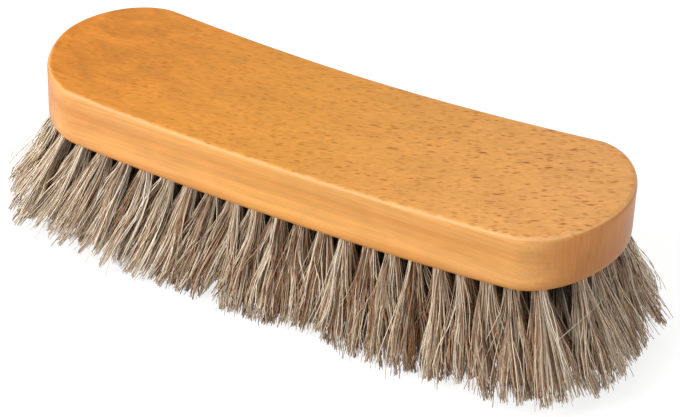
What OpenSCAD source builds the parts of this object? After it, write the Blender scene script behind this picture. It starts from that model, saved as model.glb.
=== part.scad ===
// Shoe shine brush: a swayed beech block with horsehair tufts held in drilled holes by wire anchors.
// The origin is on the surface that the hair stands on, under the middle of the block.
// X runs along the block, Y across it and Z up.

/* [Block] */
// Length of the wooden block
block_length = 200; // [180:1:230]
// Width across the rounded ends, at their widest
end_width = 63.5; // [54:0.5:72]
// Width at the waist, half way along
waist_width = 62.5; // [50:0.1:72]
// Length of each rounded end
end_length = 23; // [20:0.5:34]
// Fullness of the rounded ends: 2 is an ellipse, less is more pointed and more is squarer
end_fullness = 1.85; // [1.75:0.05:2.4]
// Thickness of the block
block_thickness = 19.8; // [15:0.1:24]
// How much lower the middle of the block lies than its ends
block_sway = 5; // [2:0.5:8]
// Radius of the top edge
top_edge_radius = 2; // [1:0.1:3]
// Radius of the bottom edge
bottom_edge_radius = 3; // [1:0.1:4]
// Depth of the shallow finger hollow along each side, which fades out towards the ends
side_hollow = 0.6; // [0:0.1:1]

/* [Holes] */
// Diameter of each tuft hole
hole_diameter = 4.6; // [4:0.1:5.2]
// Depth of each tuft hole along its own axis
hole_depth = 11; // [8:0.5:12]
// Distance of the outer holes from the outline of the block
hole_edge_margin = 5.4; // [5:0.1:7]
// Distance of the first and last crosswise rows from the ends of the block
row_end_margin = 8.5; // [7.5:0.5:12]
// Closest spacing of the tufts across the block, before it is evened out
tuft_spacing = 9.6; // [8:0.1:12]

/* [Hair] */
// Free length of the hair below the block
hair_length = 34; // [25:0.5:45]
// Outward lean of the outer tufts along the sides, in degrees
side_lean = 14; // [5:1:18]
// Outward lean of the first and last rows, in degrees
end_lean = 19; // [5:1:22]
// How much further the hair tips bend outward, as a share of that lean
tip_flare = 0.25; // [0:0.05:0.5]
// Depth to which the longest hair is trimmed flat where the brush stands
flat_trim = 0.5; // [0.2:0.1:1]
// Play between a tuft and the wall of its hole
tuft_clearance = 0.05; // [0.02:0.01:0.1]
// Length of the packed neck of a tuft that shows below its hole
neck_length = 1.2; // [0.5:0.1:2]
// Thickness of a lock of hair at the neck
lock_root = 1.7; // [1.2:0.1:2]
// Thickness of a lock of hair at its middle
lock_middle = 2.8; // [1.6:0.1:3]
// Thickness of a lock of hair at its tip
lock_tip = 3.2; // [0.8:0.1:3.4]
// Distance of the three locks from the axis of their tuft, at the neck
lock_ring_root = 1.15; // [1:0.05:1.3]
// Distance of the three locks from the axis of their tuft, at the tips
lock_ring_tip = 2.5; // [1.6:0.1:2.8]

/* [Anchors] */
// Width of the flat anchor wire, along the hole
anchor_width = 1.8; // [1.2:0.1:2.4]
// Thickness of the flat anchor wire
anchor_thickness = 0.4; // [0.3:0.05:0.6]
// Distance of the anchor wire from the blind end of the hole
anchor_inset = 1.2; // [0.8:0.1:2]

/* [Hidden] */
ROW_COUNT = 24;
ROW_NAMES = [for (i = [1 : ROW_COUNT]) str("tuft_row_", i < 10 ? "0" : "", i)];

LOCKS_PER_TUFT = 3;
LOCK_SIDES = 3;
LOCK_TWIST = 60;
TURN_BY_ROW = 37;
TURN_BY_TUFT = 53;
END_STEPS = 24;
SIDE_STEPS = 9;
EDGE_STEPS = 4;
HOLLOW_STEPS = 4;
ROUND_FN = 32;

half_length = block_length / 2;
end_start = half_length - end_length;
end_radius = end_width / 2;
waist_dip = (end_width - waist_width) / 2;
block_base = hair_length + block_sway;
row_pitch = (block_length - 2 * row_end_margin) / (ROW_COUNT - 1);
outer_hole_y = end_radius - hole_edge_margin;

// Height of the underside of the block; the top follows it at an even thickness
function underside(x) = block_base - block_sway * (1 - pow(x / half_length, 2));

// How far the waist draws the side in at a place along the block
function waist(x) = waist_dip * pow(1 - min(1, pow(x / end_start, 2)), 2);

// Half the width of the block at a place along it, a margin in from the outline
function half_width(x, margin) =
    let (u = max(0, abs(x) - end_start) / (end_length - margin))
    (end_radius - margin) * pow(1 - pow(min(1, u), end_fullness), 1 / end_fullness) - waist(x);

// Outline of the block: two rounded ends joined by sides with a gentle waist
function end_point(side, a) = [
    side * (end_start + end_length * pow(cos(a), 2 / end_fullness)),
    side * end_radius * sign(sin(a)) * pow(abs(sin(a)), 2 / end_fullness)
];
function side_point(side, k) =
    let (x = side * end_start * (1 - 2 * k / SIDE_STEPS))
    [x, side * (end_radius - waist(x))];
function end_points(side) = [for (k = [0 : END_STEPS]) end_point(side, 180 * k / END_STEPS - 90)];
function side_points(side) = [for (k = [1 : SIDE_STEPS - 1]) side_point(side, k)];
OUTLINE = concat(end_points(1), side_points(1), end_points(-1), side_points(-1));
COUNT = len(OUTLINE);

// Inward direction at a point of the outline
function inward(i) =
    let (
        before = OUTLINE[(i + COUNT - 1) % COUNT],
        after = OUTLINE[(i + 1) % COUNT],
        along = (after - before) / norm(after - before)
    )
    [-along[1], along[0]];

// How much of the finger hollow there is at a place along the block
function hollow_share(x) = 1 - pow(min(1, abs(x) / end_start), 4);

// Edge profile from the underside to the top, as [inset, height, depth of the finger hollow] steps
BOTTOM_ARC = [for (k = [0 : EDGE_STEPS])
    let (a = 90 * k / EDGE_STEPS)
    [bottom_edge_radius * (1 - sin(a)), bottom_edge_radius * (1 - cos(a)), 0]];
HOLLOW = [for (k = [1 : HOLLOW_STEPS - 1])
    let (
        share = k / HOLLOW_STEPS,
        side_height = block_thickness - bottom_edge_radius - top_edge_radius
    )
    [0, bottom_edge_radius + side_height * share, side_hollow * sin(180 * share)]];
TOP_ARC = [for (k = [0 : EDGE_STEPS])
    let (a = 90 * k / EDGE_STEPS)
    [top_edge_radius * (1 - cos(a)), block_thickness - top_edge_radius * (1 - sin(a)), 0]];
PROFILE = concat(BOTTOM_ARC, HOLLOW, TOP_ARC);
RINGS = len(PROFILE);

function ring_point(i, step) =
    let (
        inset = step[0] + step[2] * hollow_share(OUTLINE[i][0]),
        p = OUTLINE[i] + inward(i) * inset
    )
    [p[0], p[1], underside(p[0]) + step[1]];

// The two points of a ring that face each other across the block, from the right end to the left
HALF = COUNT / 2;
END_MIDDLE = END_STEPS / 2;
function near_point(k) = (END_MIDDLE - k + COUNT) % COUNT;
function far_point(k) = (END_MIDDLE + k) % COUNT;
function cap(first) = concat(
    [[first + near_point(0), first + near_point(1), first + far_point(1)]],
    [for (k = [1 : HALF - 2])
        [first + near_point(k), first + near_point(k + 1), first + far_point(k + 1), first + far_point(k)]],
    [[first + near_point(HALF - 1), first + near_point(HALF), first + far_point(HALF - 1)]]
);
function flipped(faces) = [for (f = faces) [for (k = [len(f) - 1 : -1 : 0]) f[k]]];

module block_shape() {
    points = [for (step = PROFILE) for (i = [0 : COUNT - 1]) ring_point(i, step)];
    sides = [for (r = [0 : RINGS - 2]) for (i = [0 : COUNT - 1])
        let (
            a = r * COUNT + i,
            b = r * COUNT + (i + 1) % COUNT
        )
        [a, a + COUNT, b + COUNT, b]];
    polyhedron(points, concat(flipped(cap(0)), sides, cap((RINGS - 1) * COUNT)), convexity = 4);
}

// Place of each crosswise row along the block, and the tufts in it
function row_x(row) = row_end_margin - half_length + row * row_pitch;
function reach_y(row) = half_width(row_x(row), hole_edge_margin);
function tuft_count(row) = 1 + round(2 * reach_y(row) / tuft_spacing);
function tuft_y(row, k) = reach_y(row) * (2 * k / (tuft_count(row) - 1) - 1);
function tuft_place(row, k) = [row_x(row), tuft_y(row, k)];

// Outward lean of the hair at a place on the underside, as a slope in X and in Y
function lean(p) = [
    tan(end_lean) * p[0] / (half_length - row_end_margin),
    tan(side_lean) * p[1] / outer_hole_y
];

// Carries a shape drawn down from its own origin to the hole of a tuft, along its lean
module at_tuft(p) {
    slope = lean(p);
    translate([p[0], p[1], underside(p[0])])
        rotate([0, 0, atan2(slope[1], slope[0])])
            rotate([0, -atan(norm(slope)), 0])
                children();
}

// A blind hole, drilled from well below the underside
module hole(p) {
    at_tuft(p)
        translate([0, 0, -hole_diameter])
            cylinder(h = hole_depth + hole_diameter, d = hole_diameter, $fn = ROUND_FN);
}

// A flat bar of wire across a hole, near its blind end
module anchor_bar(length, play) {
    translate([0, 0, hole_depth - anchor_inset - anchor_width / 2])
        cube([anchor_thickness + 2 * play, length, anchor_width + 2 * play], center = true);
}

// An anchor is as wide as its hole, so it jams between the walls
module anchor(p) {
    at_tuft(p)
        intersection() {
            anchor_bar(2 * hole_diameter, 0);
            cylinder(h = hole_depth, d = hole_diameter, $fn = ROUND_FN);
        }
}

// The doubled hair packed in the hole, folded over the anchor wire
module tuft_root(p) {
    root_diameter = hole_diameter - 2 * tuft_clearance;
    at_tuft(p)
        difference() {
            translate([0, 0, -neck_length])
                cylinder(h = hole_depth + neck_length, d = root_diameter, $fn = ROUND_FN);
            anchor_bar(2 * hole_diameter, tuft_clearance);
        }
}

// Height of the hair tips: the trim follows the sway of the block and is flat where the brush stands
function tip_height(x) = max(0, block_sway * pow(x / half_length, 2) - flat_trim);

// Axis of a tuft at a share of its free length, spreading evenly from the middle of the brush
function axis_point(p, share) =
    let (
        drop = underside(p[0]) - tip_height(p[0]),
        spread = share * (1 + tip_flare * share)
    )
    [p[0] + lean(p)[0] * drop * spread, p[1] + lean(p)[1] * drop * spread];

function towards(v) = v < 0 ? -1 : 1;

// One lock of hair: a three-sided strand whose rings are level, so its tip stands flat
module lock(p, angle, turn) {
    shares = [-neck_length / (2 * hair_length), 0.5, 1];
    sizes = [lock_root, lock_middle, lock_tip] / 2;
    rings = [lock_ring_root, (lock_ring_root + lock_ring_tip) / 2, lock_ring_tip];
    sx = towards(p[0]);
    sy = towards(p[1]);
    tip_z = tip_height(p[0]);
    points = [for (s = [0 : 2])
        let (
            c = axis_point(p, max(0, shares[s])),
            x = c[0] + sx * rings[s] * cos(angle),
            y = c[1] + sy * rings[s] * sin(angle),
            z = underside(p[0]) * (1 - shares[s]) + tip_z * shares[s]
        )
        for (k = [0 : LOCK_SIDES - 1])
            let (a = turn + 360 * k / LOCK_SIDES)
            [x + sx * sizes[s] * cos(a), y + sy * sizes[s] * sin(a), z]];
    sides = [for (s = [0 : 1]) for (k = [0 : LOCK_SIDES - 1])
        let (
            a = s * LOCK_SIDES + k,
            b = s * LOCK_SIDES + (k + 1) % LOCK_SIDES
        )
        each [[a, b, b + LOCK_SIDES], [a, b + LOCK_SIDES, a + LOCK_SIDES]]];
    faces = concat([[2, 1, 0]], sides, [[6, 7, 8]]);
    polyhedron(points, sx * sy > 0 ? faces : flipped(faces), convexity = 2);
}

module tuft(p, turn) {
    tuft_root(p);
    for (j = [0 : LOCKS_PER_TUFT - 1]) {
        angle = turn + 360 * j / LOCKS_PER_TUFT;
        lock(p, angle, angle + LOCK_TWIST);
    }
}

// Turn of the locks about their tuft: it varies from tuft to tuft, and is mirrored at both ends and sides
function tuft_turn(row, k) =
    TURN_BY_ROW * min(row, ROW_COUNT - 1 - row) + TURN_BY_TUFT * min(k, tuft_count(row) - 1 - k);

module tuft_row(row) {
    color("#a48d76")
        for (k = [0 : tuft_count(row) - 1])
            tuft(tuft_place(row, k), tuft_turn(row, k));
}

module block() {
    color("#e0a25b")
        difference() {
            block_shape();
            for (row = [0 : ROW_COUNT - 1])
                for (k = [0 : tuft_count(row) - 1])
                    hole(tuft_place(row, k));
        }
}

module tuft_anchors() {
    color("#b9b6b0")
        for (row = [0 : ROW_COUNT - 1])
            for (k = [0 : tuft_count(row) - 1])
                anchor(tuft_place(row, k));
}

block();
tuft_anchors();
for (row = [0 : ROW_COUNT - 1])
    tuft_row(row);
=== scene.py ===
"""Shoe shine brush: a lacquered beech block with horsehair tufts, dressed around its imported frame."""

import math

import bpy
import numpy as np
from bpy.props import FloatProperty, FloatVectorProperty, IntProperty, PointerProperty
from bpy.types import Operator, Panel, PropertyGroup
from mathutils import Matrix, Vector


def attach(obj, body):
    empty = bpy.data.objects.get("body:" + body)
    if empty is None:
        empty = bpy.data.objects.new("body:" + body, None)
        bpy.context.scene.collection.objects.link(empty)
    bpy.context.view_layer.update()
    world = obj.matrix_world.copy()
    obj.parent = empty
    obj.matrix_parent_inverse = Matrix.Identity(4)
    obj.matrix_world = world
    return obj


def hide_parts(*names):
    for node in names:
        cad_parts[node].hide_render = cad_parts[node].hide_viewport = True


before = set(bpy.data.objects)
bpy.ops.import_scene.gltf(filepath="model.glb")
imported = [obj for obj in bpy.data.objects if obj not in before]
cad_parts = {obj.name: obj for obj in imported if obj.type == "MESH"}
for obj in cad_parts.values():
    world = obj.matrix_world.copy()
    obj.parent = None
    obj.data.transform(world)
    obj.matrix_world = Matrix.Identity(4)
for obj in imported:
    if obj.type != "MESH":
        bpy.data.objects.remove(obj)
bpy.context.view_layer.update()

bl_info = {
    "name": "Shoe Shine Brush",
    "version": (1, 0, 0),
    "blender": (4, 5, 0),
    "location": "View3D > Sidebar > Brush",
    "description": "Builds a shoe shine brush of lacquered beech and horsehair with its studio",
    "category": "Add Mesh",
}

BODY = "root"
ROWS = sorted(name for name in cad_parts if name.startswith("tuft_row_"))
SEED = 20


class BlockSizes(PropertyGroup):
    """Sizes of the wooden block, the same as in its construction."""
    length: FloatProperty(name="Length", description="Length of the block", default=0.2, unit="LENGTH")
    end_width: FloatProperty(
        name="End width", description="Width across the rounded ends", default=0.0635, unit="LENGTH")
    waist_width: FloatProperty(
        name="Waist width", description="Width half way along", default=0.0625, unit="LENGTH")
    end_length: FloatProperty(
        name="End length", description="Length of each rounded end", default=0.023, unit="LENGTH")
    end_fullness: FloatProperty(
        name="End fullness", description="2 is an ellipse, more is squarer", default=1.85)
    thickness: FloatProperty(
        name="Thickness", description="Thickness of the block", default=0.0198, unit="LENGTH")
    sway: FloatProperty(
        name="Sway", description="How much lower the middle lies than the ends", default=0.005, unit="LENGTH")
    top_edge: FloatProperty(
        name="Top edge", description="Radius of the top edge", default=0.002, unit="LENGTH")
    bottom_edge: FloatProperty(
        name="Bottom edge", description="Radius of the bottom edge", default=0.003, unit="LENGTH")
    hollow: FloatProperty(
        name="Side hollow", description="Depth of the finger hollow along the side", default=0.0006,
        unit="LENGTH")


class HoleSizes(PropertyGroup):
    """Sizes of the drilled holes and their layout, the same as in the construction."""
    diameter: FloatProperty(name="Diameter", description="Diameter of a hole", default=0.0046, unit="LENGTH")
    depth: FloatProperty(name="Depth", description="Depth of a hole", default=0.011, unit="LENGTH")
    edge_margin: FloatProperty(
        name="Edge margin", description="Outer holes to the outline", default=0.0054, unit="LENGTH")
    end_margin: FloatProperty(
        name="End margin", description="First and last rows to the ends", default=0.0085, unit="LENGTH")
    spacing: FloatProperty(
        name="Spacing", description="Spacing across before it is evened out", default=0.0096, unit="LENGTH")


class HairSizes(PropertyGroup):
    """Sizes of the hair."""
    length: FloatProperty(
        name="Free length", description="Hair below the block", default=0.034, unit="LENGTH")
    side_lean: FloatProperty(
        name="Side lean", description="Outward lean of the side tufts", default=math.radians(14),
        subtype="ANGLE")
    end_lean: FloatProperty(
        name="End lean", description="Outward lean of the end rows", default=math.radians(19),
        subtype="ANGLE")
    tip_flare: FloatProperty(
        name="Tip flare", description="Further bend of the tips, as a share of the lean", default=0.25)
    flat_trim: FloatProperty(
        name="Flat trim", description="Depth trimmed flat where the brush stands", default=0.0005,
        unit="LENGTH")
    per_tuft: IntProperty(name="Hairs", description="Hairs that show in one tuft", default=210, min=12)
    locks: IntProperty(
        name="Locks", description="Locks that the hairs of a tuft cling together in", default=15, min=1)
    # A real horsehair is about half as thick, which is too fine to show in a picture of the whole brush
    thickness: FloatProperty(
        name="Thickness", description="Thickness of one hair", default=0.00034, unit="LENGTH")
    neck: FloatProperty(
        name="Neck", description="Width of a tuft where it leaves its hole", default=0.0041, unit="LENGTH")
    fan: FloatProperty(
        name="Fan", description="How many times wider a tuft is at its tips than at its neck", default=3.8)
    outward_fan: FloatProperty(
        name="Outward fan", description="Share of the fan that an outer tuft keeps on its outward side",
        default=0.4)
    scatter: FloatProperty(
        name="Scatter", description="Chance drift of the tip of a lock", default=0.0020, unit="LENGTH")
    lock_spread: FloatProperty(
        name="Lock spread", description="Drift of a hair tip within its lock", default=0.0007, unit="LENGTH")
    bow: FloatProperty(name="Bow", description="Chance bow of a lock", default=0.0011, unit="LENGTH")
    loose_share: FloatProperty(name="Loose share", description="Share of hairs outside any lock", default=0.3)
    loose_scatter: FloatProperty(
        name="Loose scatter", description="Drift of the tip of a loose hair", default=0.003, unit="LENGTH")
    wild_share: FloatProperty(name="Wild share", description="Share of hairs that stray far", default=0.006)
    wild_scatter: FloatProperty(
        name="Wild scatter", description="Drift of the tip of a wild hair", default=0.007, unit="LENGTH")
    trim_spread: FloatProperty(
        name="Trim spread", description="How unevenly the tips are cut", default=0.0004, unit="LENGTH")


def hex_to_linear(code):
    """Turns an sRGB hex colour into the linear values that shaders take."""
    channels = [int(code[i:i + 2], 16) / 255 for i in (1, 3, 5)]
    return tuple(c / 12.92 if c <= 0.04045 else ((c + 0.055) / 1.055) ** 2.4 for c in channels)


def colour_property(name, description, code):
    """A colour that a user can change, from its sRGB hex value."""
    return FloatVectorProperty(
        name=name, description=description, default=hex_to_linear(code), subtype="COLOR",
        size=3, min=0, max=1)


class BrushColours(PropertyGroup):
    """Colours of the wood and the hair."""
    # The lighter wood towards the right end is partly the board's own tone and partly a painted sheen
    wood_deep: colour_property("Deep beech", "Wood at the left end under clear lacquer", "#E08A2C")
    wood_mid: colour_property("Beech", "Wood half way along under clear lacquer", "#E49B40")
    wood_pale: colour_property("Pale beech", "Wood at the right end under clear lacquer", "#E8A761")
    fleck: colour_property("Ray fleck", "Dark ray flecks of the beech", "#A04C0C")
    end_grain: colour_property("End grain", "Darker tone where the grain is cut across", "#A85A1A")
    # Painted highlight along the rounded top edge, also the tint of the painted light on the sides
    edge: colour_property("Edge highlight", "Paler wood along the rounded top edge", "#F2C48C")
    # Painted shade: the wood inside the holes is coloured dark for the shade there
    drilled: colour_property("Drilled wood", "Bare wood inside a hole", "#8A5A30")
    hair_pale: colour_property("Pale hair", "Palest hairs in the mix", "#F8EBD6")
    hair_beige: colour_property("Beige hair", "Beige hairs", "#E5CFB1")
    hair_grey: colour_property("Grey hair", "Greyish brown hairs", "#C1A587")
    hair_red: colour_property("Chestnut hair", "Reddish brown hairs", "#A06E4A")
    hair_dark: colour_property("Dark hair", "Darkest hairs in the mix", "#573926")
    floor: colour_property("Floor", "Plain pale floor", "#DCDCDC")


class StudioSettings(PropertyGroup):
    """Where the camera stands and how it is aimed."""
    azimuth: FloatProperty(
        name="Azimuth", description="Turn of the camera about the brush", default=math.radians(27.41),
        subtype="ANGLE")
    elevation: FloatProperty(
        name="Elevation", description="Height angle of the camera", default=math.radians(33.81),
        subtype="ANGLE")
    roll: FloatProperty(
        name="Roll", description="Tilt of the camera about its view", default=math.radians(2.15),
        subtype="ANGLE")
    distance: FloatProperty(
        name="Distance", description="Camera to the middle of the brush", default=0.7793, unit="LENGTH")
    aim_right: FloatProperty(
        name="Aim right", description="Aim right of the middle of the brush", default=0.0026, unit="LENGTH")
    aim_up: FloatProperty(
        name="Aim up", description="Aim above the middle of the brush", default=-0.0142, unit="LENGTH")
    lens: FloatProperty(name="Lens", description="Focal length in millimetres", default=130.2)


# Shape of the block

def half_length(block):
    """From the middle of the block to its ends."""
    return block.length / 2


def underside(x):
    """Height of the underside of the block at a place along it."""
    block = bpy.context.scene.brush_block
    hair = bpy.context.scene.brush_hair
    return hair.length + block.sway * (x / half_length(block)) ** 2


def waist(x):
    """How far the waist draws the side in at a place along the block."""
    block = bpy.context.scene.brush_block
    start = half_length(block) - block.end_length
    dip = (block.end_width - block.waist_width) / 2
    return dip * (1 - np.minimum(1, (x / start) ** 2)) ** 2


def half_width(x, margin):
    """Half the width of the block at a place along it, a margin in from the outline."""
    block = bpy.context.scene.brush_block
    start = half_length(block) - block.end_length
    u = np.minimum(1, np.maximum(0, np.abs(x) - start) / (block.end_length - margin))
    round_end = (1 - u ** block.end_fullness) ** (1 / block.end_fullness)
    return (block.end_width / 2 - margin) * round_end - waist(x)


# Steps round each end, along each side, over each rounded edge and up the finger hollow
END_STEPS = 96
SIDE_STEPS = 45
EDGE_STEPS = 8
HOLLOW_STEPS = 10


def block_outline():
    """Points round the block as seen from above, anticlockwise from the right end's lower corner."""
    block = bpy.context.scene.brush_block
    start = half_length(block) - block.end_length
    power = 2 / block.end_fullness
    turn = np.radians(180 * np.arange(END_STEPS + 1) / END_STEPS - 90)
    end_x = start + block.end_length * np.abs(np.cos(turn)) ** power
    end_y = block.end_width / 2 * np.sign(np.sin(turn)) * np.abs(np.sin(turn)) ** power
    side_x = start * (1 - 2 * np.arange(1, SIDE_STEPS) / SIDE_STEPS)
    side_y = block.end_width / 2 - waist(side_x)
    half = np.column_stack([np.append(end_x, side_x), np.append(end_y, side_y)])
    return np.vstack([half, -half])


def hollow_share(x):
    """How much of the finger hollow there is at a place along the block."""
    block = bpy.context.scene.brush_block
    start = half_length(block) - block.end_length
    return 1 - np.minimum(1, np.abs(x) / start) ** 4


def edge_profile():
    """Inset, height and depth of the finger hollow of each ring of the block, from its underside up."""
    block = bpy.context.scene.brush_block
    turn = np.radians(90 * np.arange(EDGE_STEPS + 1) / EDGE_STEPS)
    share = np.arange(1, HOLLOW_STEPS) / HOLLOW_STEPS
    side_height = block.thickness - block.bottom_edge - block.top_edge
    flush = np.zeros_like(turn)
    bottom = np.column_stack([1 - np.sin(turn), 1 - np.cos(turn), flush]) * block.bottom_edge
    middle = np.column_stack([
        0 * share, block.bottom_edge + side_height * share, block.hollow * np.sin(np.pi * share)])
    top = np.column_stack([1 - np.cos(turn), np.sin(turn), flush]) * block.top_edge
    top[:, 1] += block.thickness - block.top_edge
    return np.vstack([bottom, middle, top])


def block_mesh():
    """The block without its holes: rings from the edge profile, closed by strips across."""
    outline = block_outline()
    profile = edge_profile()
    count = len(outline)
    along = np.roll(outline, -1, axis=0) - np.roll(outline, 1, axis=0)
    along /= np.linalg.norm(along, axis=1, keepdims=True)
    inward = np.column_stack([-along[:, 1], along[:, 0]])
    rings = []
    for inset, rise, hollow in profile:
        plan = outline + inward * (inset + hollow * hollow_share(outline[:, 0]))[:, None]
        rings.append(np.column_stack([plan, underside(plan[:, 0]) + rise]))
    points = np.vstack(rings)
    faces = []
    for ring in range(len(profile) - 1):
        for i in range(count):
            a = ring * count + i
            b = ring * count + (i + 1) % count
            faces.append((a, b, b + count, a + count))
    middle = END_STEPS // 2
    near = [(middle - k) % count for k in range(count // 2 + 1)]
    far = [(middle + k) % count for k in range(count // 2 + 1)]
    top = (len(profile) - 1) * count
    for k in range(count // 2):
        corners = list(dict.fromkeys([near[k], far[k], far[k + 1], near[k + 1]]))
        faces.append(tuple(top + c for c in corners))
        faces.append(tuple(reversed(corners)))
    return points, faces


# Layout of the tufts

def tuft_places():
    """The places of the tufts on the underside, one list for each crosswise row."""
    block = bpy.context.scene.brush_block
    holes = bpy.context.scene.brush_holes
    first = holes.end_margin - half_length(block)
    places = []
    for x in np.linspace(first, -first, len(ROWS)):
        reach = float(half_width(x, holes.edge_margin))
        count = 1 + round(2 * reach / holes.spacing)
        places.append([(float(x), float(y)) for y in np.linspace(-reach, reach, count)])
    return places


def lean(place):
    """Outward lean of the hair at a place on the underside, as slopes in X and Y."""
    block = bpy.context.scene.brush_block
    holes = bpy.context.scene.brush_holes
    hair = bpy.context.scene.brush_hair
    outer_x = half_length(block) - holes.end_margin
    outer_y = block.end_width / 2 - holes.edge_margin
    return np.array([
        math.tan(hair.end_lean) * place[0] / outer_x,
        math.tan(hair.side_lean) * place[1] / outer_y,
    ])


def tip_height(x):
    """Height of the trimmed tips above the surface that the brush stands on."""
    block = bpy.context.scene.brush_block
    hair = bpy.context.scene.brush_hair
    return np.maximum(0, block.sway * (x / half_length(block)) ** 2 - hair.flat_trim)


# Materials

MM_PER_METRE = 1000


def add_node(tree, kind, inputs=(), **settings):
    """Adds a node, sets its settings, then sets or links its inputs."""
    item = tree.nodes.new(kind)
    for name, value in settings.items():
        setattr(item, name, value)
    for name, value in dict(inputs).items():
        if isinstance(value, bpy.types.NodeSocket):
            tree.links.new(value, item.inputs[name])
        else:
            item.inputs[name].default_value = value
    return item


def new_material(name):
    """An empty node material and its tree and output."""
    material = bpy.data.materials.new(name)
    material.use_nodes = True
    material.node_tree.nodes.clear()
    output = material.node_tree.nodes.new("ShaderNodeOutputMaterial")
    return material, material.node_tree, output


def fill_ramp(ramp_node, stops):
    """Gives a colour ramp its stops, as pairs of a place and a linear colour."""
    elements = ramp_node.color_ramp.elements
    while len(elements) < len(stops):
        elements.new(0.5)
    for element, (place, colour) in zip(elements, stops):
        element.position = place
        element.color = (*colour, 1)


def millimetres(tree):
    """The object's own coordinates, in millimetres."""
    coordinates = add_node(tree, "ShaderNodeTexCoord")
    scaled = add_node(
        tree, "ShaderNodeVectorMath", {0: coordinates.outputs["Object"], 1: (MM_PER_METRE,) * 3},
        operation="MULTIPLY")
    return scaled.outputs[0]


def scaled_noise(tree, place, size, detail, distortion=0.0):
    """Soft noise whose features have a real size in millimetres along each axis."""
    shrunk = add_node(
        tree, "ShaderNodeVectorMath", {0: place, 1: tuple(1 / s for s in size)}, operation="MULTIPLY")
    noise = add_node(
        tree, "ShaderNodeTexNoise",
        {"Vector": shrunk.outputs[0], "Scale": 1.0, "Detail": detail, "Roughness": 0.55,
         "Distortion": distortion})
    return noise.outputs["Fac"]


# Size in millimetres of the bends in the rays, and how far they move a fleck along and across the grain
RAY_BEND = 2.5
RAY_DRIFT = (1.6, 1.4, 0.0)

# Share of a fleck's reach that has its full depth
FLECK_CORE = 0.4


def flecks(tree, place, size, reach, rarity):
    """Short dark dashes: one to a cell of a real size in millimetres, each bent and of its own strength."""
    drift = add_node(
        tree, "ShaderNodeTexNoise",
        {"Vector": place, "Scale": 1 / RAY_BEND, "Detail": 2.0, "Roughness": 0.5})
    moved = add_node(
        tree, "ShaderNodeVectorMath", {0: drift.outputs["Color"], 1: RAY_DRIFT, 2: place},
        operation="MULTIPLY_ADD")
    shrunk = add_node(
        tree, "ShaderNodeVectorMath", {0: moved.outputs[0], 1: (1 / size[0], 1 / size[1], 0.0)},
        operation="MULTIPLY")
    cells = add_node(
        tree, "ShaderNodeTexVoronoi", {"Vector": shrunk.outputs[0], "Scale": 1.0, "Randomness": 1.0},
        feature="F1")
    chance = add_node(tree, "ShaderNodeSeparateColor", {"Color": cells.outputs["Color"]})
    core = add_node(
        tree, "ShaderNodeMapRange",
        {"Value": cells.outputs["Distance"], "From Min": reach, "From Max": reach * FLECK_CORE})
    strength = add_node(
        tree, "ShaderNodeMapRange", {"Value": chance.outputs[0], "From Min": rarity, "From Max": 1.0})
    return add_node(
        tree, "ShaderNodeMath", {0: core.outputs[0], 1: strength.outputs[0]}, operation="MULTIPLY").outputs[0]


# How far the grain of the board runs askew to the length of the block
GRAIN_TURN = math.radians(20)

# Painted shade and light on a side in red, green and blue, from the bottom edge to the top: darker on the
# bottom rounding, lighter low in the finger hollow, darker high in it and lighter again under the top edge
SIDE_SHADE_BANDS = [
    (0.00, (0.74, 0.66, 0.52)),
    (0.13, (0.84, 0.76, 0.64)),
    (0.26, (1.00, 1.02, 1.06)),
    (0.45, (0.95, 0.93, 0.90)),
    (0.70, (0.85, 0.78, 0.68)),
    (0.80, (0.92, 0.91, 0.90)),
    (0.92, (0.98, 0.99, 1.00)),
]


def rise_share(tree, place):
    """Height above the underside of the block, as a share of its thickness."""
    block = bpy.context.scene.brush_block
    hair = bpy.context.scene.brush_hair
    bend = block.sway / half_length(block) ** 2 / MM_PER_METRE
    squared = add_node(
        tree, "ShaderNodeMath", {0: place.outputs["X"], 1: place.outputs["X"]}, operation="MULTIPLY")
    level = add_node(
        tree, "ShaderNodeMath", {0: squared.outputs[0], 1: -bend, 2: place.outputs["Z"]},
        operation="MULTIPLY_ADD")
    base = hair.length * MM_PER_METRE
    share = add_node(
        tree, "ShaderNodeMapRange",
        {"Value": level.outputs[0], "From Min": base, "From Max": base + block.thickness * MM_PER_METRE})
    return share.outputs[0]


# Where a surface begins and ends to count as top or underside, as side and as end, by its facing
FACES = (("Z", 0.55, 0.95), ("Y", 0.3, 0.9), ("X", 0.4, 0.95))


def facing_shares(tree):
    """How far the surface faces up or down, sideways and endways, each from 0 to 1, and its upward slope."""
    facing = add_node(tree, "ShaderNodeNewGeometry").outputs["Normal"]
    sizes = add_node(tree, "ShaderNodeVectorMath", {0: facing}, operation="ABSOLUTE")
    size = add_node(tree, "ShaderNodeSeparateXYZ", {"Vector": sizes.outputs[0]})
    shares = [
        add_node(
            tree, "ShaderNodeMapRange", {"Value": size.outputs[axis], "From Min": low, "From Max": high},
            interpolation_type="SMOOTHSTEP").outputs[0]
        for axis, low, high in FACES]
    signed = add_node(tree, "ShaderNodeSeparateXYZ", {"Vector": facing})
    return (*shares, signed.outputs["Z"])


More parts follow.
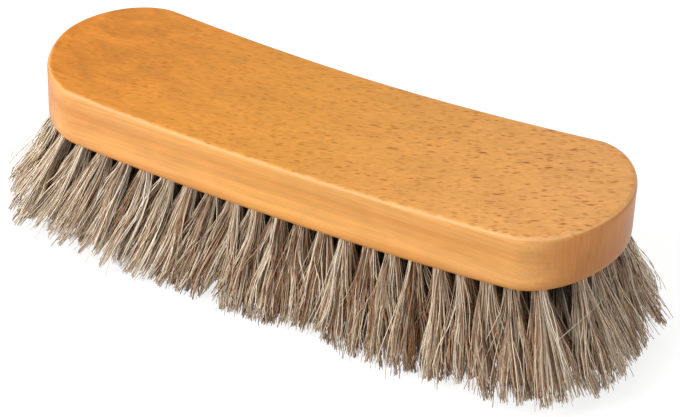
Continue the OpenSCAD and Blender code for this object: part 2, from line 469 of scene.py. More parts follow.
def beech_top(tree, place, along, body):
    """Top face: fine mottled grain with ray flecks 1 to 3 mm long, along a grain that runs askew, bolder to
    the right. It also gives how dark the flecks are, for the pores."""
    colours = bpy.context.scene.brush_colours
    askew = add_node(
        tree, "ShaderNodeVectorRotate", {"Vector": place, "Angle": -GRAIN_TURN},
        rotation_type="Z_AXIS").outputs[0]
    grain_depth = add_node(
        tree, "ShaderNodeMapRange",
        {"Value": along, "From Min": -90.0, "From Max": 0.0, "To Min": 0.91, "To Max": 0.88})
    grain = add_node(
        tree, "ShaderNodeMapRange",
        {"Value": scaled_noise(tree, askew, (3.4, 1.0, 1.0), 3.0), "From Min": 0.3, "From Max": 0.7,
         "To Min": grain_depth.outputs[0], "To Max": 1.06})
    grained = add_node(
        tree, "ShaderNodeVectorMath", {0: body, 1: grain.outputs[0]}, operation="MULTIPLY")
    small_depth = add_node(
        tree, "ShaderNodeMapRange",
        {"Value": along, "From Min": -80.0, "From Max": 70.0, "To Min": 0.42, "To Max": 0.85})
    large_depth = add_node(
        tree, "ShaderNodeMapRange",
        {"Value": along, "From Min": -50.0, "From Max": 60.0, "To Min": 0.2, "To Max": 1.0})
    small = add_node(
        tree, "ShaderNodeMath", {0: flecks(tree, askew, (3.2, 0.95), 0.42, 0.0), 1: small_depth.outputs[0]},
        operation="MULTIPLY")
    large = add_node(
        tree, "ShaderNodeMath", {0: flecks(tree, askew, (7.0, 2.2), 0.27, 0.25), 1: large_depth.outputs[0]},
        operation="MULTIPLY")
    dark = add_node(
        tree, "ShaderNodeMath", {0: small.outputs[0], 1: large.outputs[0]}, operation="MAXIMUM").outputs[0]
    flecked = add_node(
        tree, "ShaderNodeMix", {"Factor": dark, 6: grained.outputs[0], 7: (*colours.fleck, 1)},
        data_type="RGBA")
    return flecked.outputs[2], dark


def beech_side(tree, place, along, rise, body, streaks):
    """Sides: cut along the rays, with painted light that makes them lighter, most of all towards the left
    end, painted shade and light in soft bands that follow the sway where the finger hollow and the bottom
    rounding take the light, and long streaks."""
    colours = bpy.context.scene.brush_colours
    # Painted shade and light of the finger hollow and the bottom rounding, in bands by height that noise
    # nudges a little
    wander = scaled_noise(tree, place, (45.0, 20.0, 20.0), 1.0)
    layer = add_node(
        tree, "ShaderNodeMath", {0: wander, 1: 0.24, 2: rise}, operation="MULTIPLY_ADD")
    level = add_node(tree, "ShaderNodeMath", {0: layer.outputs[0], 1: 0.12}, operation="SUBTRACT")
    bands = add_node(tree, "ShaderNodeValToRGB", {"Fac": level.outputs[0]})
    fill_ramp(bands, SIDE_SHADE_BANDS)
    # Painted light: the side is tinted lighter, most of all towards the left end
    painted_left_light = add_node(
        tree, "ShaderNodeMapRange",
        {"Value": along, "From Min": -60.0, "From Max": 60.0, "To Min": 0.32, "To Max": 0.07})
    body = add_node(
        tree, "ShaderNodeMix", {"Factor": painted_left_light.outputs[0], 6: body, 7: (*colours.edge, 1)},
        data_type="RGBA").outputs[2]
    shade = add_node(
        tree, "ShaderNodeMapRange",
        {"Value": along, "From Min": -70.0, "From Max": 70.0, "To Min": 0.94, "To Max": 0.92})
    broad = add_node(
        tree, "ShaderNodeMapRange",
        {"Value": scaled_noise(tree, place, (60.0, 4.0, 1.5), 3.0, 0.5), "From Min": 0.32, "From Max": 0.68,
         "To Min": 0.92, "To Max": 1.05})
    fine = add_node(
        tree, "ShaderNodeMapRange",
        {"Value": streaks, "From Min": 0.3, "From Max": 0.7, "To Min": 0.92, "To Max": 1.07})
    for factor in (bands, shade, broad, fine):
        body = add_node(
            tree, "ShaderNodeVectorMath", {0: body, 1: factor.outputs[0]}, operation="MULTIPLY").outputs[0]
    return body


def beech_end(tree, place, along, rise, body):
    """Rounded ends: the grain is cut across, so it drinks more lacquer, darkens and shows upright lines.
    Painted shade darkens them towards the bottom.
    """
    colours = bpy.context.scene.brush_colours
    lines = add_node(
        tree, "ShaderNodeMapRange",
        {"Value": scaled_noise(tree, place, (3.0, 0.6, 14.0), 3.0), "From Min": 0.3, "From Max": 0.7,
         "To Min": 0.86, "To Max": 1.12})
    # Painted shade: darker towards the bottom of the end
    low_end_shade = add_node(
        tree, "ShaderNodeMapRange",
        {"Value": rise, "From Min": 0.05, "From Max": 0.95, "To Min": 0.8, "To Max": 1.12})
    depth = add_node(
        tree, "ShaderNodeMapRange",
        {"Value": along, "From Min": -80.0, "From Max": 80.0, "To Min": 0.8, "To Max": 0.62})
    body = add_node(
        tree, "ShaderNodeMix", {"Factor": depth.outputs[0], 6: body, 7: (*colours.end_grain, 1)},
        data_type="RGBA").outputs[2]
    for factor in (lines, low_end_shade):
        body = add_node(
            tree, "ShaderNodeVectorMath", {0: body, 1: factor.outputs[0]}, operation="MULTIPLY").outputs[0]
    return body


def lacquered_beech():
    """Beech, shaped, sanded and clear lacquered: an even honey wood under a satin skin. Its rays show as
    short dark flecks on top, its growth as long soft streaks on the sides and upright lines on the ends."""
    colours = bpy.context.scene.brush_colours
    material, tree, output = new_material("lacquered_beech")
    place = millimetres(tree)
    split_place = add_node(tree, "ShaderNodeSeparateXYZ", {"Vector": place})
    along = split_place.outputs["X"]
    rise = rise_share(tree, split_place)
    top_share, side_share, end_share, slope = facing_shares(tree)

    # Board: deep honey at the left end, lighter at the right: partly the board's own tone, partly a painted
    # sheen towards the right end
    length_share = add_node(
        tree, "ShaderNodeMapRange", {"Value": along, "From Min": -100.0, "From Max": 100.0})
    tone = add_node(tree, "ShaderNodeValToRGB", {"Fac": length_share.outputs[0]})
    fill_ramp(tone, [(0.0, colours.wood_deep), (0.45, colours.wood_mid), (1.0, colours.wood_pale)])

    # Clouds some 16 mm long, stronger towards the left end
    clouds = add_node(
        tree, "ShaderNodeMapRange",
        {"Value": scaled_noise(tree, place, (16.0, 10.0, 10.0), 2.5, 0.8), "From Min": 0.35,
         "From Max": 0.65})
    darkest = add_node(
        tree, "ShaderNodeMapRange",
        {"Value": along, "From Min": -100.0, "From Max": -30.0, "To Min": 0.79, "To Max": 0.94})
    lightest = add_node(
        tree, "ShaderNodeMapRange",
        {"Value": along, "From Min": -100.0, "From Max": -30.0, "To Min": 1.1, "To Max": 1.03})
    cloudy = add_node(
        tree, "ShaderNodeMix", {"Factor": clouds.outputs[0], 2: darkest.outputs[0], 3: lightest.outputs[0]},
        data_type="FLOAT")
    body = add_node(
        tree, "ShaderNodeVectorMath", {0: tone.outputs["Color"], 1: cloudy.outputs[0]},
        operation="MULTIPLY").outputs[0]

    # Faces: top and underside, sides and ends, each with its own cut of the grain
    streaks = scaled_noise(tree, place, (16.0, 0.5, 0.4), 3.0)
    top, fleck_depth = beech_top(tree, place, along, body)
    side = beech_side(tree, place, along, rise, body, streaks)
    end = beech_end(tree, place, along, rise, body)
    sided = add_node(tree, "ShaderNodeMix", {"Factor": side_share, 6: top, 7: side}, data_type="RGBA")
    ended = add_node(
        tree, "ShaderNodeMix", {"Factor": end_share, 6: sided.outputs[2], 7: end}, data_type="RGBA")

    # Top edge: sanded round after the faces; a painted highlight makes it lighter, rough where it runs out
    # into the top
    rough = add_node(
        tree, "ShaderNodeMath", {0: scaled_noise(tree, place, (3.0, 1.2, 1.2), 3.0), 1: 0.5, 2: slope},
        operation="MULTIPLY_ADD")
    highlight_up = add_node(
        tree, "ShaderNodeMapRange", {"Value": slope, "From Min": 0.5, "From Max": 0.7},
        interpolation_type="SMOOTHSTEP")
    highlight_off = add_node(
        tree, "ShaderNodeMapRange",
        {"Value": rough.outputs[0], "From Min": 1.08, "From Max": 1.17, "To Min": 0.4, "To Max": 0.0},
        interpolation_type="SMOOTHSTEP")
    highlight_share = add_node(
        tree, "ShaderNodeMath", {0: highlight_up.outputs[0], 1: highlight_off.outputs[0]}, operation="MULTIPLY")
    surface = add_node(
        tree, "ShaderNodeMix",
        {"Factor": highlight_share.outputs[0], 6: ended.outputs[2], 7: (*colours.edge, 1)}, data_type="RGBA")

    # Skin: lacquer that has sunk a little into the streaks and the pores
    grain_bump = add_node(
        tree, "ShaderNodeBump", {"Height": streaks, "Strength": 0.1, "Distance": 0.00008})
    pores = add_node(
        tree, "ShaderNodeMath", {0: fleck_depth, 1: top_share}, operation="MULTIPLY")
    pore_bump = add_node(
        tree, "ShaderNodeBump",
        {"Height": pores.outputs[0], "Strength": 0.5, "Distance": 0.00006, "Normal": grain_bump.outputs[0]},
        invert=True)
    shader = add_node(
        tree, "ShaderNodeBsdfPrincipled",
        {"Base Color": surface.outputs[2], "Roughness": 0.42, "IOR": 1.45, "Specular IOR Level": 0.2,
         "Normal": pore_bump.outputs[0], "Coat Weight": 0.2, "Coat Roughness": 0.28, "Coat IOR": 1.4})
    tree.links.new(shader.outputs[0], output.inputs["Surface"])
    return material


def hole_shade_beech():
    """Beech inside a drilled hole: bare, dry and dull, and painted dark as shade inside the hole."""
    colours = bpy.context.scene.brush_colours
    material, tree, output = new_material("hole_shade_beech")
    place = millimetres(tree)

    # Torn fibres a third of a millimetre wide
    torn = add_node(
        tree, "ShaderNodeTexNoise", {"Vector": place, "Scale": 3.0, "Detail": 3.0, "Roughness": 0.6})
    tone = add_node(tree, "ShaderNodeValToRGB", {"Fac": torn.outputs["Fac"]})
    shadowed = tuple(c * 0.6 for c in colours.drilled)
    fill_ramp(tone, [(0.3, shadowed), (0.7, colours.drilled)])
    shader = add_node(
        tree, "ShaderNodeBsdfPrincipled",
        {"Base Color": tone.outputs["Color"], "Roughness": 0.85, "IOR": 1.5})
    tree.links.new(shader.outputs[0], output.inputs["Surface"])
    return material


def horsehair():
    """Horsehair of mixed natural colours, washed and cut: each hair has one tone, from pale beige through
    chestnut to dark brown. Painted shade darkens it near its hole, most of all deep inside the brush where
    shade falls between the tufts, and it has the soft gloss of smooth hair."""
    colours = bpy.context.scene.brush_colours
    material, tree, output = new_material("horsehair")
    tone = add_node(tree, "ShaderNodeAttribute", attribute_name="tone").outputs["Fac"]
    along = add_node(tree, "ShaderNodeAttribute", attribute_name="along").outputs["Fac"]
    inner = add_node(tree, "ShaderNodeAttribute", attribute_name="inner").outputs["Fac"]
    mix = add_node(tree, "ShaderNodeValToRGB", {"Fac": tone})
    fill_ramp(mix, [
        (0.0, colours.hair_dark),
        (0.22, colours.hair_red),
        (0.48, colours.hair_grey),
        (0.74, colours.hair_beige),
        (1.0, colours.hair_pale),
    ])
    # Painted shade near the roots: slight on the outer side of an outer tuft, deep on the tufts within, where
    # shade falls between them
    outer_root_shade = add_node(
        tree, "ShaderNodeMapRange",
        {"Value": along, "From Min": 0.0, "From Max": 0.3, "To Min": 0.9, "To Max": 1.0})
    inner_root_shade = add_node(
        tree, "ShaderNodeMapRange",
        {"Value": along, "From Min": 0.13, "From Max": 0.5, "To Min": 0.05, "To Max": 1.0})
    root_shade = add_node(
        tree, "ShaderNodeMix", {"Factor": inner, 2: outer_root_shade.outputs[0], 3: inner_root_shade.outputs[0]},
        data_type="FLOAT")
    shaded = add_node(
        tree, "ShaderNodeVectorMath", {0: mix.outputs["Color"], 1: root_shade.outputs[0]}, operation="MULTIPLY")
    shader = add_node(
        tree, "ShaderNodeBsdfPrincipled",
        {"Base Color": shaded.outputs[0], "Roughness": 0.4, "IOR": 1.55, "Specular IOR Level": 0.4})
    tree.links.new(shader.outputs[0], output.inputs["Surface"])
    return material


def anchor_steel():
    """Flat drawn steel wire, cut and driven: a grey metal with fine scratches along the wire."""
    material, tree, output = new_material("drawn_steel_wire")
    place = millimetres(tree)

    # Scratches 0.6 mm long and 0.1 mm wide
    stretched = add_node(
        tree, "ShaderNodeVectorMath", {0: place, 1: (6.0, 0.8, 6.0)}, operation="MULTIPLY")
    scratches = add_node(
        tree, "ShaderNodeTexNoise", {"Vector": stretched.outputs[0], "Scale": 2.0, "Detail": 4.0})
    tone = add_node(tree, "ShaderNodeValToRGB", {"Fac": scratches.outputs["Fac"]})
    fill_ramp(tone, [(0.3, hex_to_linear("#8E8C88")), (0.7, hex_to_linear("#C4C2BD"))])
    shader = add_node(
        tree, "ShaderNodeBsdfPrincipled",
        {"Base Color": tone.outputs["Color"], "Metallic": 1.0, "Roughness": 0.35})
    tree.links.new(shader.outputs[0], output.inputs["Surface"])
    return material


# Meshes

def mesh_object(name, points, faces):
    """A new object at the origin with the given points, in metres, and faces."""
    mesh = bpy.data.meshes.new(name)
    mesh.from_pydata([tuple(p) for p in points], [], [tuple(int(i) for i in f) for f in faces])
    mesh.update()
    made = bpy.data.objects.new(name, mesh)
    bpy.context.collection.objects.link(made)
    return made


def shade_smooth(mesh, sharp_angle=None):
    """Shades a mesh smooth, apart from edges over the given angle."""
    mesh.polygons.foreach_set("use_smooth", np.ones(len(mesh.polygons), dtype=bool))
    if sharp_angle is not None:
        mesh.set_sharp_from_angle(angle=sharp_angle)
    mesh.update()


def hole_matrix(place):
    """Stands a shape drawn up its own Z in the hole at a place, along the lean of its tuft."""
    slope = lean(place)
    direction = Vector((-slope[0], -slope[1], 1)).normalized()
    turned = direction.to_track_quat("Z", "Y").to_matrix().to_4x4()
    return Matrix.Translation((place[0], place[1], float(underside(place[0])))) @ turned


def round_bars(places, radius, bottom, top, sides):
    """Points and faces of one closed round bar in each hole, between two depths along it."""
    points = []
    faces = []
    for place in places:
        seat = hole_matrix(place)
        first = len(points)
        for level in (bottom, top):
            for k in range(sides):
                turn = 2 * math.pi * k / sides
                points.append(seat @ Vector((radius * math.cos(turn), radius * math.sin(turn), level)))
        for k in range(sides):
            after = (k + 1) % sides
            faces.append((first + k, first + after, first + sides + after, first + sides + k))
        faces.append(tuple(first + k for k in reversed(range(sides))))
        faces.append(tuple(first + sides + k for k in range(sides)))
    return points, faces


# Block

HOLE_SIDES = 32
SHARP_ANGLE = math.radians(40)


class BRUSH_OT_block(Operator):
    """Builds the beech block with its tuft holes"""
    bl_idname = "brush.block"
    bl_label = "Block"

    def execute(self, context):
        holes = context.scene.brush_holes
        block = mesh_object("beech_block", *block_mesh())
        block.data.materials.append(lacquered_beech())
        places = [place for row in tuft_places() for place in row]
        drill = mesh_object(
            "drill", *round_bars(places, holes.diameter / 2, -holes.diameter, holes.depth, HOLE_SIDES))
        drill.data.materials.append(hole_shade_beech())
        cut = block.modifiers.new("holes", "BOOLEAN")
        cut.operation = "DIFFERENCE"
        cut.solver = "EXACT"
        cut.material_mode = "TRANSFER"
        cut.object = drill
        drilled = bpy.data.meshes.new_from_object(block.evaluated_get(context.evaluated_depsgraph_get()))
        block.modifiers.clear()
        block.data = drilled
        bpy.data.objects.remove(drill)
        shade_smooth(drilled, SHARP_ANGLE)
        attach(block, BODY)
        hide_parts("block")
        return {"FINISHED"}


# Hair

HAIR_SIDES = 3

# Rings of a hair, as shares of the way from the mouth of its hole to its tip; the first is inside the hole
HAIR_SHARES = np.array([-0.09, 0.0, 0.12, 0.28, 0.46, 0.64, 0.82, 1.0])

# Turn from one lock of a tuft to the next, which spreads them evenly
GOLDEN_TURN = math.radians(137.5)

# How the hair of the front lies: place along the brush, how far the tips are swept along it there, how far
# they stand out beyond the plain fan, and how much shorter they are, in metres. It parts at -0.0195, and
# its edge has a step at 0.018.
FRONT_FRINGE = [
    (-0.1120, 0.0010, -0.0010, 0.0075),
    (-0.1050, 0.0000, -0.0008, 0.0050),
    (-0.0900, -0.0015, -0.0012, 0.0028),
    (-0.0750, -0.0030, -0.0018, 0.0024),
    (-0.0500, -0.0045, -0.0002, 0.0014),
    (-0.0215, -0.0045, -0.0006, 0.0002),
    (-0.0196, -0.0045, -0.0006, 0.0065),
    (-0.0194, -0.0008, 0.0010, 0.0065),
    (-0.0178, -0.0008, 0.0010, 0.0000),
    (-0.0020, 0.0000, 0.0008, 0.0000),
    (0.0080, 0.0000, -0.0005, 0.0022),
    (0.0175, 0.0000, -0.0010, 0.0032),
    (0.0190, 0.0000, 0.0004, 0.0000),
    (0.0600, 0.0000, 0.0000, 0.0002),
    (0.0720, 0.0000, -0.0005, 0.0048),
    (0.0750, 0.0000, 0.0000, 0.0010),
    (0.0800, 0.0000, 0.0000, 0.0004),
    (0.0860, 0.0000, -0.0005, 0.0012),
    (0.1050, 0.0000, -0.0005, 0.0020),
]

# How much paler the hair is at places along the brush, on the scale of its tones
TONE_ALONG = ((-0.06, 0.0, 0.05, 0.09), (0.15, -0.01, -0.1, 0.08))

# How late the tufts open at places along the brush: 0 is from the hole on, 1 is further down
LATE_ALONG = ((-0.05, 0.02), (0.1, 1.0))

# Least share of the shortening of the front that the tufts behind it have too
BEHIND_SHARE = 0.5

# Drift of a whole tuft, as a share of a lock's; of a hair in the neck, as a share of its radius; and of the
# bow of a hair, as a share of its lock's
TUFT_DRIFT = 0.5
NECK_DRIFT = 0.22
BOW_DRIFT = 0.6

# Thinnest and thickest hairs, and how a hair tapers from its hole to its tip, as shares of its thickness
HAIR_WIDTHS = (0.75, 1.2)
HAIR_TAPER = ((-0.1, 0.7, 1.0), (1.0, 1.0, 0.75))

# Tones of the locks, and how far those of a whole tuft and of one hair drift from them
LOCK_TONES = (0.3, 0.76)
TUFT_TONE_SPREAD = 0.05
HAIR_TONE_SPREAD = 0.28

# Share of the hairs that end shorter, and by how much, in metres
SHORT_SHARE = 0.06
SHORT_CUT = (0.001, 0.010)

# How deep inside the inner side of an outer tuft counts for the painted shade near the roots, where the tufts
# within count as 1
OUTER_TUFT_DEPTH = 0.6

# Two places nearer than this count as one, in metres
SAME_PLACE = 0.001


def outermost(place):
    """Whether a tuft stands in the outer ring of tufts."""
    holes = bpy.context.scene.brush_holes
    block = bpy.context.scene.brush_block
    end = half_length(block) - holes.end_margin
    reach = float(half_width(place[0], holes.edge_margin))
    return abs(place[0]) > end - SAME_PLACE or abs(place[1]) > reach - SAME_PLACE


def fringe_at(place, tip_x):
    """Shift and shortening of the tips of a tuft as the hair of the front lies, full in the front tufts and
    less towards the middle."""
    block = bpy.context.scene.brush_block
    holes = bpy.context.scene.brush_holes
    outer_y = block.end_width / 2 - holes.edge_margin
    nearness = max(0.0, -place[1] / outer_y)
    front = nearness ** 4
    places, sweeps, flares, lifts = zip(*FRONT_FRINGE)
    sweep = np.interp(tip_x, places, sweeps) * nearness
    shift = np.column_stack([sweep, -np.interp(tip_x, places, flares) * front])
    lift = np.interp(tip_x, places, lifts) * max(front, BEHIND_SHARE)
    return shift, lift


# Two pale stray hairs of the last row, from hole to tip, in metres: one lies across the end, one stands off
STRAY_HAIRS = np.array([
    [
        (0.0912, -0.0044, 0.0410), (0.0920, -0.0048, 0.0382), (0.0955, -0.0058, 0.0335),
        (0.0986, -0.0078, 0.0296), (0.0987, -0.0135, 0.0290), (0.0974, -0.0198, 0.0281),
        (0.0957, -0.0255, 0.0269), (0.0941, -0.0310, 0.0257),
    ],
    [
        (0.0912, 0.0134, 0.0410), (0.0922, 0.0138, 0.0382), (0.0958, 0.0148, 0.0330),
        (0.0994, 0.0158, 0.0275), (0.1026, 0.0168, 0.0225), (0.1058, 0.0176, 0.0180),
        (0.1090, 0.0184, 0.0135), (0.1120, 0.0190, 0.0090),
    ],
])
STRAY_TONES = np.array([0.95, 0.7])


def opening(place, forward):
    """How far a tuft has opened at shares of its length, from 0 at its hole to 1 at its tips."""
    late = np.interp(place[0], *LATE_ALONG)
    early_curve = forward ** 0.9
    late_curve = (forward + forward ** 2 * (3 - 2 * forward)) / 2
    return (1 - late) * early_curve + late * late_curve


def drift(rng, size, shape):
    """Chance drift of a typical size, never more than twice that."""
    return np.clip(rng.normal(0, 1, shape), -2, 2) * size


def tuft_hairs(place, rng):
    """Centre lines of the hairs of one tuft, as an array of hair, ring and coordinate, the tone of each, and
    how deep inside the brush it lies, from 0 to 1, which sets its painted shade near the hole."""
    hair = bpy.context.scene.brush_hair
    count = hair.per_tuft
    neck_radius = hair.neck / 2
    slope = lean(place)

    # The locks, spread evenly over the neck
    order = np.arange(hair.locks)
    turn = order * GOLDEN_TURN + rng.uniform(0, 2 * math.pi)
    radius = neck_radius * np.sqrt((order + 0.5) / hair.locks)
    lock_neck = np.column_stack([np.cos(turn), np.sin(turn)]) * radius[:, None]
    lock_tip = lock_neck * hair.fan + drift(rng, hair.scatter, (hair.locks, 2))
    lock_tip += drift(rng, hair.scatter * TUFT_DRIFT, 2)
    lock_bow = drift(rng, hair.bow, (hair.locks, 2))
    lock_curl = drift(rng, hair.bow, (hair.locks, 2))
    lock_cut = np.abs(drift(rng, hair.trim_spread, hair.locks))
    lock_tone = rng.uniform(*LOCK_TONES, hair.locks) + rng.normal(0, TUFT_TONE_SPREAD)
    lock_tone += np.interp(place[0], *TONE_ALONG)

    # The hairs: most follow a lock, some lie loose and a few stray
    lock = rng.integers(0, hair.locks, count)
    luck = rng.uniform(0, 1, count)
    loose = (luck < hair.loose_share)[:, None]
    wild = (luck < hair.wild_share)[:, None]
    neck = lock_neck[lock] + drift(rng, neck_radius * NECK_DRIFT, (count, 2))
    neck *= np.minimum(1, neck_radius / np.linalg.norm(neck, axis=1, keepdims=True))
    tip = lock_tip[lock] + drift(rng, hair.lock_spread, (count, 2))
    tip = np.where(loose, neck * hair.fan + drift(rng, hair.loose_scatter, (count, 2)), tip)
    tip = np.where(wild, neck * hair.fan + drift(rng, hair.wild_scatter, (count, 2)), tip)
    bow = lock_bow[lock] + drift(rng, hair.bow * BOW_DRIFT, (count, 2))
    curl = lock_curl[lock] + drift(rng, hair.bow * BOW_DRIFT, (count, 2))

    # An outer tuft opens less on its outward side
    outward = slope / max(1e-6, float(np.linalg.norm(slope)))
    steep = min(1.0, float(np.linalg.norm(slope)) / math.tan(hair.side_lean))
    beyond = np.maximum(0, tip @ outward)
    tip = tip - outward * (beyond * steep * (1 - hair.outward_fan))[:, None]

    # Along the lean of the tuft, with a bow, and as the hair of the front lies
    top = float(underside(place[0]))
    drop = top - float(tip_height(place[0]))
    shares = HAIR_SHARES[None, :, None]
    forward = np.maximum(0, shares)
    spread = forward * (1 + hair.tip_flare * forward)
    axis = np.array(place) + slope * drop * np.where(shares < 0, shares, spread)
    opened = opening(place, forward)
    plan = axis + neck[:, None, :] * (1 - opened) + tip[:, None, :] * opened
    swing = bow[:, None, :] * np.sin(np.pi * forward) + curl[:, None, :] * np.sin(2 * np.pi * forward)
    plan = plan + swing * forward ** 0.5
    shift, lift = fringe_at(place, plan[:, -1, 0])
    plan = plan + shift[:, None, :] * forward ** 1.5

    # Down to the trimmed tips, each cut a little short
    cut = lock_cut[lock] + np.abs(drift(rng, hair.trim_spread, count)) + lift
    short = rng.uniform(0, 1, count) < SHORT_SHARE
    cut = cut + np.where(short, rng.uniform(*SHORT_CUT, count), 0)
    low = tip_height(plan[:, -1, 0]) + cut
    height = top * (1 - HAIR_SHARES)[None, :] + low[:, None] * HAIR_SHARES[None, :]
    tone = np.clip(lock_tone[lock] + rng.normal(0, HAIR_TONE_SPREAD, count), 0, 1)
    depth = np.clip(0.5 - neck @ outward / hair.neck, 0, 1) ** 1.5
    inner = OUTER_TUFT_DEPTH * depth if outermost(place) else np.ones(count)
    return np.concatenate([plan, height[:, :, None]], axis=2), tone, inner


def hair_mesh(name, lines, marks, rng):
    """One mesh of three-sided hairs round the given centre lines, with marks that hold for a whole hair and
    one for the way along it."""
    hair = bpy.context.scene.brush_hair
    count, rings, _ = lines.shape
    sizes = hair.thickness / 2 * rng.uniform(*HAIR_WIDTHS, count)
    taper = np.interp(HAIR_SHARES, *HAIR_TAPER)
    corners = 2 * math.pi * np.arange(HAIR_SIDES) / HAIR_SIDES
    turn = rng.uniform(0, 2 * math.pi, count)[:, None] + corners[None, :]
    circle = np.stack([np.cos(turn), np.sin(turn), np.zeros_like(turn)], axis=2)
    points = lines[:, :, None, :] + circle[:, None] * (sizes[:, None] * taper)[:, :, None, None]
    first = (np.arange(count) * rings * HAIR_SIDES)[:, None, None]
    ring = (np.arange(rings - 1) * HAIR_SIDES)[None, :, None]
    side = np.arange(HAIR_SIDES)[None, None, :]
    after = (side + 1) % HAIR_SIDES
    a = first + ring + side
    b = first + ring + after
    quads = np.stack([a, a + HAIR_SIDES, b + HAIR_SIDES, b], axis=3).reshape(-1, 4)
    ends = first[:, 0, 0][:, None] + np.arange(HAIR_SIDES)[None, :]
    tips = ends + (rings - 1) * HAIR_SIDES
    faces = [tuple(f) for f in quads.tolist()]
    faces += [tuple(f) for f in ends.tolist()]
    faces += [tuple(reversed(f)) for f in tips.tolist()]
    made = mesh_object(name, points.reshape(-1, 3).tolist(), faces)
    marks = {label: np.repeat(values, rings * HAIR_SIDES) for label, values in marks.items()}
    marks["along"] = np.tile(np.repeat(np.maximum(0, HAIR_SHARES), HAIR_SIDES), count)
    for label, values in marks.items():
        layer = made.data.attributes.new(label, "FLOAT", "POINT")
        layer.data.foreach_set("value", values.astype(np.float32))
    shade_smooth(made.data)
    return made


class BRUSH_OT_hair(Operator):
    """Builds the horsehair of every tuft, one piece for each crosswise row"""
    bl_idname = "brush.hair"
    bl_label = "Horsehair"

    def execute(self, context):
        material = horsehair()
        for number, (row, places) in enumerate(zip(ROWS, tuft_places())):
            rng = np.random.default_rng(SEED + number)
            lines, tones, inner = zip(*(tuft_hairs(place, rng) for place in places))
            if row == ROWS[-1]:
                lines += (STRAY_HAIRS,)
                tones += (STRAY_TONES,)
                inner += (np.zeros(len(STRAY_HAIRS)),)
            marks = {"tone": np.concatenate(tones), "inner": np.concatenate(inner)}
            hairs = hair_mesh("hair" + row[len("tuft"):], np.concatenate(lines), marks, rng)
            hairs.data.materials.append(material)
            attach(hairs, BODY)
            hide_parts(row)
        return {"FINISHED"}


# Anchor wires

class BRUSH_OT_anchors(Operator):
    """Gives the anchor wires inside the block their steel finish"""
    bl_idname = "brush.anchors"
    bl_label = "Anchor wires"

    def execute(self, context):
        steel = anchor_steel()
        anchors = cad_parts["tuft_anchors"]
        if not anchors.material_slots:
            anchors.data.materials.append(steel)
        for slot in anchors.material_slots:
            slot.material = steel
        return {"FINISHED"}


# Studio

# Softboxes: name, place, width in metres and power in watts
LAMPS = (
    ("key_softbox", (-0.57, -1.05, 0.93), 0.6, 10.5),
    ("low_softbox", (-0.55, -0.5, 0.2), 0.3, 2.4),
    ("top_softbox", (-0.3, 0.2, 1.3), 0.9, 4.5),
    ("right_fill", (1.1, -0.5, 0.25), 0.5, 2.4),
)
LAMP_AIM = (0, 0, 0.03)

# Half the width of the floor in metres, and the width of the camera's sensor in millimetres
FLOOR_REACH = 6.0
SENSOR_WIDTH = 36


def camera_axes(studio):
    """The camera's right, up and backward directions."""
    azimuth = studio.azimuth
    elevation = studio.elevation
    back = Vector((
        math.sin(azimuth) * math.cos(elevation),
        -math.cos(azimuth) * math.cos(elevation),
        math.sin(elevation),
    ))
    right = Vector((0, 0, 1)).cross(back).normalized()
    up = back.cross(right)
    turned = Matrix.Rotation(studio.roll, 3, back)
    return turned @ right, turned @ up, back


def floor_material():
    """Plain matt paper: it takes the brush's soft shadow, and is near white where seen or mirrored."""
    colours = bpy.context.scene.brush_colours
    material, tree, output = new_material("matt_paper_floor")
    light_path = add_node(tree, "ShaderNodeLightPath")
    seen_or_mirrored = add_node(
        tree, "ShaderNodeMath",
        {0: light_path.outputs["Is Camera Ray"], 1: light_path.outputs["Is Glossy Ray"]}, operation="MAXIMUM")
    seen = add_node(
        tree, "ShaderNodeMath",
        {0: seen_or_mirrored.outputs[0], 1: light_path.outputs["Is Transmission Ray"]}, operation="MAXIMUM")
    plain = add_node(tree, "ShaderNodeBsdfDiffuse", {"Color": (*colours.floor, 1)})
    faint = add_node(tree, "ShaderNodeBsdfDiffuse", {"Color": (0.3, 0.3, 0.3, 1)})
    glow = add_node(tree, "ShaderNodeEmission", {"Color": (1, 1, 1, 1), "Strength": 0.8})
    shown = add_node(tree, "ShaderNodeAddShader")
    tree.links.new(faint.outputs[0], shown.inputs[0])
    tree.links.new(glow.outputs[0], shown.inputs[1])
    chosen = add_node(tree, "ShaderNodeMixShader", {"Fac": seen.outputs[0]})
    tree.links.new(plain.outputs[0], chosen.inputs[1])
    tree.links.new(shown.outputs[0], chosen.inputs[2])
    tree.links.new(chosen.outputs[0], output.inputs["Surface"])
    return material


def studio_world():
    """Even pale surroundings: white where the camera sees them, softer as a light and in the lacquer."""
    world = bpy.data.worlds.new("studio_surround")
    world.use_nodes = True
    tree = world.node_tree
    tree.nodes.clear()
    light_path = add_node(tree, "ShaderNodeLightPath")
    seen = add_node(
        tree, "ShaderNodeMath",
        {0: light_path.outputs["Is Camera Ray"], 1: light_path.outputs["Is Transmission Ray"]},
        operation="MAXIMUM")
    light = add_node(tree, "ShaderNodeBackground", {"Color": (1, 1, 1, 1), "Strength": 0.45})
    white = add_node(tree, "ShaderNodeBackground", {"Color": (1, 1, 1, 1), "Strength": 1.0})
    chosen = add_node(tree, "ShaderNodeMixShader", {"Fac": seen.outputs[0]})
    tree.links.new(light.outputs[0], chosen.inputs[1])
    tree.links.new(white.outputs[0], chosen.inputs[2])
    output = add_node(tree, "ShaderNodeOutputWorld")
    tree.links.new(chosen.outputs[0], output.inputs["Surface"])
    bpy.context.scene.world = world


def soft_lamp(name, place, size, power):
    """A square softbox lamp, in metres and watts, aimed at the brush."""
    lamp = bpy.data.lights.new(name, "AREA")
    lamp.shape = "SQUARE"
    lamp.size = size
    lamp.energy = power
    made = bpy.data.objects.new(name, lamp)
    made.location = place
    made.rotation_euler = (Vector(LAMP_AIM) - Vector(place)).to_track_quat("-Z", "Y").to_euler()
    bpy.context.collection.objects.link(made)


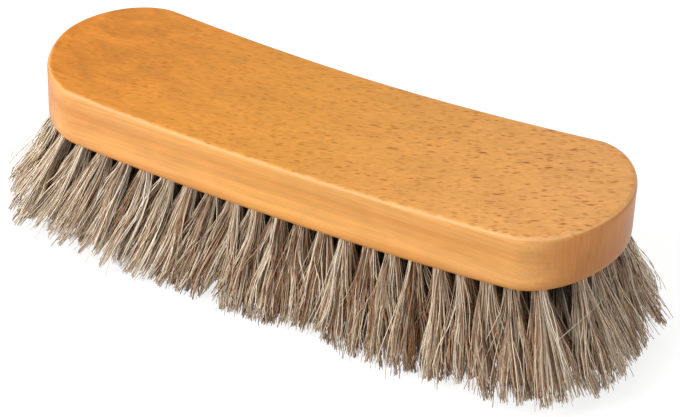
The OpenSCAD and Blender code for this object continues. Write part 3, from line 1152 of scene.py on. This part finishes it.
class BRUSH_OT_studio(Operator):
    """Sets the floor, the lamps and the camera"""
    bl_idname = "brush.studio"
    bl_label = "Studio"

    def execute(self, context):
        scene = context.scene
        studio = scene.brush_studio
        reach = FLOOR_REACH
        floor = mesh_object(
            "floor", [(-reach, -reach, 0), (reach, -reach, 0), (reach, reach, 0), (-reach, reach, 0)],
            [(0, 1, 2, 3)])
        floor.data.materials.append(floor_material())
        studio_world()
        for lamp in LAMPS:
            soft_lamp(*lamp)

        right, up, back = camera_axes(studio)
        block_base = Vector((0, 0, scene.brush_hair.length + scene.brush_block.sway))
        lens = bpy.data.cameras.new("photo_camera")
        lens.lens = studio.lens
        lens.sensor_width = SENSOR_WIDTH
        lens.clip_start = 0.01
        camera = bpy.data.objects.new("photo_camera", lens)
        camera.matrix_world = Matrix.Translation(
            block_base + back * studio.distance + right * studio.aim_right + up * studio.aim_up
        ) @ Matrix((right, up, back)).transposed().to_4x4()
        context.collection.objects.link(camera)
        scene.camera = camera
        scene.view_settings.view_transform = "Standard"
        return {"FINISHED"}


# Panel and registration

class BRUSH_PT_panel(Panel):
    """Lists the pieces of the brush in the sidebar"""
    bl_idname = "BRUSH_PT_panel"
    bl_label = "Shoe shine brush"
    bl_space_type = "VIEW_3D"
    bl_region_type = "UI"
    bl_category = "Brush"

    def draw(self, context):
        for operator in OPERATORS:
            self.layout.operator(operator.bl_idname)
        for group in GROUPS:
            settings = getattr(context.scene, group)
            box = self.layout.box()
            for name in settings.__annotations__:
                box.prop(settings, name)


GROUPS = {
    "brush_block": BlockSizes,
    "brush_holes": HoleSizes,
    "brush_hair": HairSizes,
    "brush_colours": BrushColours,
    "brush_studio": StudioSettings,
}
OPERATORS = (BRUSH_OT_studio, BRUSH_OT_block, BRUSH_OT_hair, BRUSH_OT_anchors)


def register():
    """Registers the settings, the operators and the panel."""
    for item in (*GROUPS.values(), *OPERATORS, BRUSH_PT_panel):
        bpy.utils.register_class(item)
    for name, group in GROUPS.items():
        setattr(bpy.types.Scene, name, PointerProperty(type=group))


def unregister():
    """Takes away what register added."""
    for name in GROUPS:
        delattr(bpy.types.Scene, name)
    for item in reversed((*GROUPS.values(), *OPERATORS, BRUSH_PT_panel)):
        bpy.utils.unregister_class(item)


def main():
    """Builds the whole scene."""
    register()
    bpy.ops.brush.studio()
    bpy.ops.brush.block()
    bpy.ops.brush.hair()
    bpy.ops.brush.anchors()


if __name__ == "__main__":
    main()
